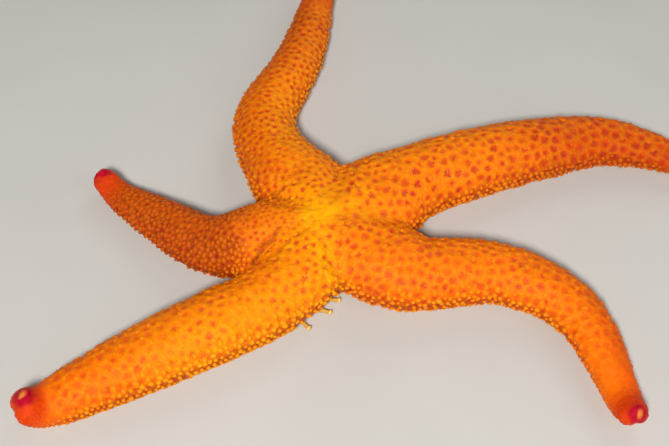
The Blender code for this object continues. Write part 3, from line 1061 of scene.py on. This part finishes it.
# ---- eyespots, sieve plate and mouth
def dome(rings, sides, wide, tall, proud, deep, ripple):
    """A cushion with a rippled top and a closed flat back, as points and faces."""
    turns = [2 * math.pi * side / sides for side in range(sides)]
    points = []
    for ring in range(1, rings + 1):
        slope = math.pi / 2 * ring / rings
        points += [(math.sin(slope) * wide / 2 * math.cos(angle),
                    math.sin(slope) * tall / 2 * math.sin(angle),
                    math.cos(slope) * proud * (1 + ripple(slope, angle))) for angle in turns]
    points += [(wide * 0.42 * math.cos(angle), tall * 0.42 * math.sin(angle), -deep)
               for angle in turns]
    peak, last = len(points), rings * sides
    points += [(0.0, 0.0, proud * (1 + ripple(0.0, 0.0))), (0.0, 0.0, -deep)]
    faces = [face[::-1] for face in ring_faces(rings + 1, sides)]
    for side in range(sides):
        after = (side + 1) % sides
        faces += [(peak, side, after), (peak + 1, last + after, last + side)]
    return np.array(points), np.array(faces)


def add_eyespots(lines, look):
    def ripple(slope, angle):
        return 0.10 * math.cos(angle * 6) * math.sin(slope * 2) ** 2

    for line in lines:
        node = f"eye_{line.name}"
        forward, turn = line.forward[-2], math.radians(line.eye_turn)
        tall_way = line.up[-2] * math.cos(turn) + np.cross(forward, line.up[-2]) * math.sin(turn)
        wide_way = np.cross(tall_way, forward)
        shape, faces = dome(8, 24, EYE_WIDE, EYE_TALL, EYE_PROUD, 1.1, ripple)
        start = line.eye - forward * EYE_SUNK
        points = (start + shape[:, 0:1] * wide_way + shape[:, 1:2] * tall_way
                  + shape[:, 2:3] * forward)
        rim = np.hypot(shape[:, 0] * 2 / EYE_WIDE, shape[:, 1] * 2 / EYE_TALL)
        tint = blend(HUES["eye"], HUES["crimson"], ease(rim * 1.3 - 0.2))
        add_single(node + "_cushion", points, faces, tint, lines, look, node)


def add_sieve(skin, lines, look):
    """The madreporite: a low plate in the skin, with furrows that run out from its middle."""
    def ripple(slope, angle):
        furrows = math.cos(angle * 17 + 2.0 * math.sin(3 * slope + angle))
        return 0.20 * furrows * math.sin(slope) * math.cos(slope * 0.8)

    shape, faces = dome(14, 102, SIEVE_WIDE, SIEVE_WIDE, SIEVE_PROUD, 1.6, ripple)
    middle = sum(box_of("madreporite")) / 2
    aside = np.linalg.norm(skin["points"][:, :2] - middle[:2], axis=1)
    middle[2] = skin["points"][aside < SIEVE_WIDE / 2, 2].mean() + 0.02
    furrow = np.clip(0.5 + 0.5 * np.cos(np.arctan2(shape[:, 1], shape[:, 0]) * 17), 0, 1)
    tint = blend(HUES["arm"], HUES["disc"], 0.35 + 0.65 * furrow)
    add_single("madreporite_plate", middle + shape, faces, tint, lines, look,
               "madreporite")


def add_mouth(lines, look):
    """The folded membrane round the mouth."""
    def ripple(slope, angle):
        return 0.25 * math.cos(angle * 15) * math.sin(slope * 2) - 0.9 * math.exp(-(slope / 0.3) ** 2)

    low, high = box_of("mouth")
    shape, faces = dome(12, 60, MOUTH_WIDE, MOUTH_WIDE, 1.2, 0.8, ripple)
    middle = np.array([(low[0] + high[0]) / 2, (low[1] + high[1]) / 2, high[2] + 0.1])
    points = middle + shape * np.array([1, -1, -1])
    # Painted shade: the membrane darkens towards the mouth's opening in its middle.
    shade = ease(np.hypot(shape[:, 0], shape[:, 1]) / 2.0)
    tint = blend(HUES["dot"] * 0.5, HUES["sole"], shade)
    add_single("mouth_membrane", points, faces, tint, lines, look, "mouth")


# ---- camera, light and floor
CAMERA_PLACE = (2.35, -169.1, 252.4)  # from the middle of the disc, at floor level
CAMERA_DOWN = 55.0
SENSOR = 36.0
LENS = 64.66


def add_camera(centre):
    data = bpy.data.cameras.new("camera")
    data.sensor_width = SENSOR
    data.lens = LENS
    data.clip_start = 0.01
    camera = add_object("camera", data)
    camera.location = Vector(centre + np.array(CAMERA_PLACE)) * MM
    camera.rotation_euler = (math.radians(90 - CAMERA_DOWN), 0, 0)
    bpy.context.scene.camera = camera


def add_light(name, place, aim, size, power, colour):
    data = bpy.data.lights.new(name, "AREA")
    data.shape = "DISK"
    data.size = size
    data.energy = power
    data.color = colour
    light = add_object(name, data)
    light.location = place
    light.rotation_euler = (Vector(aim) - Vector(place)).to_track_quat("-Z", "Y").to_euler()


def add_floor():
    mesh = bpy.data.meshes.new("floor")
    size = 3.0
    mesh.from_pydata([(-size, -size, 0), (size, -size, 0), (size, size, 0), (-size, size, 0)],
                     [], [(0, 1, 2, 3)])
    mesh.materials.append(floor_look())
    floor = add_object("floor", mesh)


def add_studio(centre):
    add_camera(centre)
    add_floor()
    aim = Vector(centre) * MM
    add_light("key", (-0.08, -0.42, 0.50), aim, 0.12, 4.4, (1.0, 0.97, 0.92))
    add_light("fill", (0.55, -0.35, 0.40), aim, 0.5, 0.9, (0.92, 0.96, 1.0))
    add_light("back", (0.35, 0.55, 0.50), aim, 0.5, 1.2, (1.0, 0.98, 0.95))
    world = bpy.data.worlds.new("world")
    world.use_nodes = True
    background = world.node_tree.nodes["Background"]
    background.inputs["Color"].default_value = (1.0, 1.0, 1.0, 1.0)
    background.inputs["Strength"].default_value = 0.12
    bpy.context.scene.world = world
    bpy.context.scene.view_settings.view_transform = "Standard"


def main():
    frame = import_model()
    low, high = box_of("mouth")
    centre = np.array([(low[0] + high[0]) / 2, (low[1] + high[1]) / 2, 0.0])
    lines = [ArmLine(name, centre) for name in ARMS]

    skin_look = flesh_look("skin", 0.40, 0.22, 0.10, ((1300.0, 0.6), (2600.0, 0.5), (6500.0, 0.3)))
    spine_look = flesh_look("spines", 0.42, 0.25, 0.08, ((6500.0, 0.3),))
    papula_look = flesh_look("papulae", 0.38, 0.35, 0.08, ((7000.0, 0.2),), wet=0.8)
    tube_look = flesh_look("tube_feet", 0.35, 0.5, 0.05, ((5000.0, 0.2),))
    eye_look = flesh_look("eyespot", 0.30, 0.4, 0.06, ((4000.0, 0.3),))

    points, faces = remeshed(swollen_flesh(frame["nodes"]))
    # Each push inward is undone by one outward, so that the arms don't shrink.
    points = smooth(points, edges_of(faces), (0.6, -0.62) * 10)
    skin = make_skin(points, faces, lines, skin_look)
    add_spines(skin, lines, spine_look)
    add_papulae(skin, lines, papula_look)
    add_tube_feet(lines, tube_look)
    add_reaching_feet(lines, tube_look)
    add_eyespots(lines, eye_look)
    add_sieve(skin, lines, skin_look)
    add_mouth(lines, tube_look)
    add_studio(centre)


main()
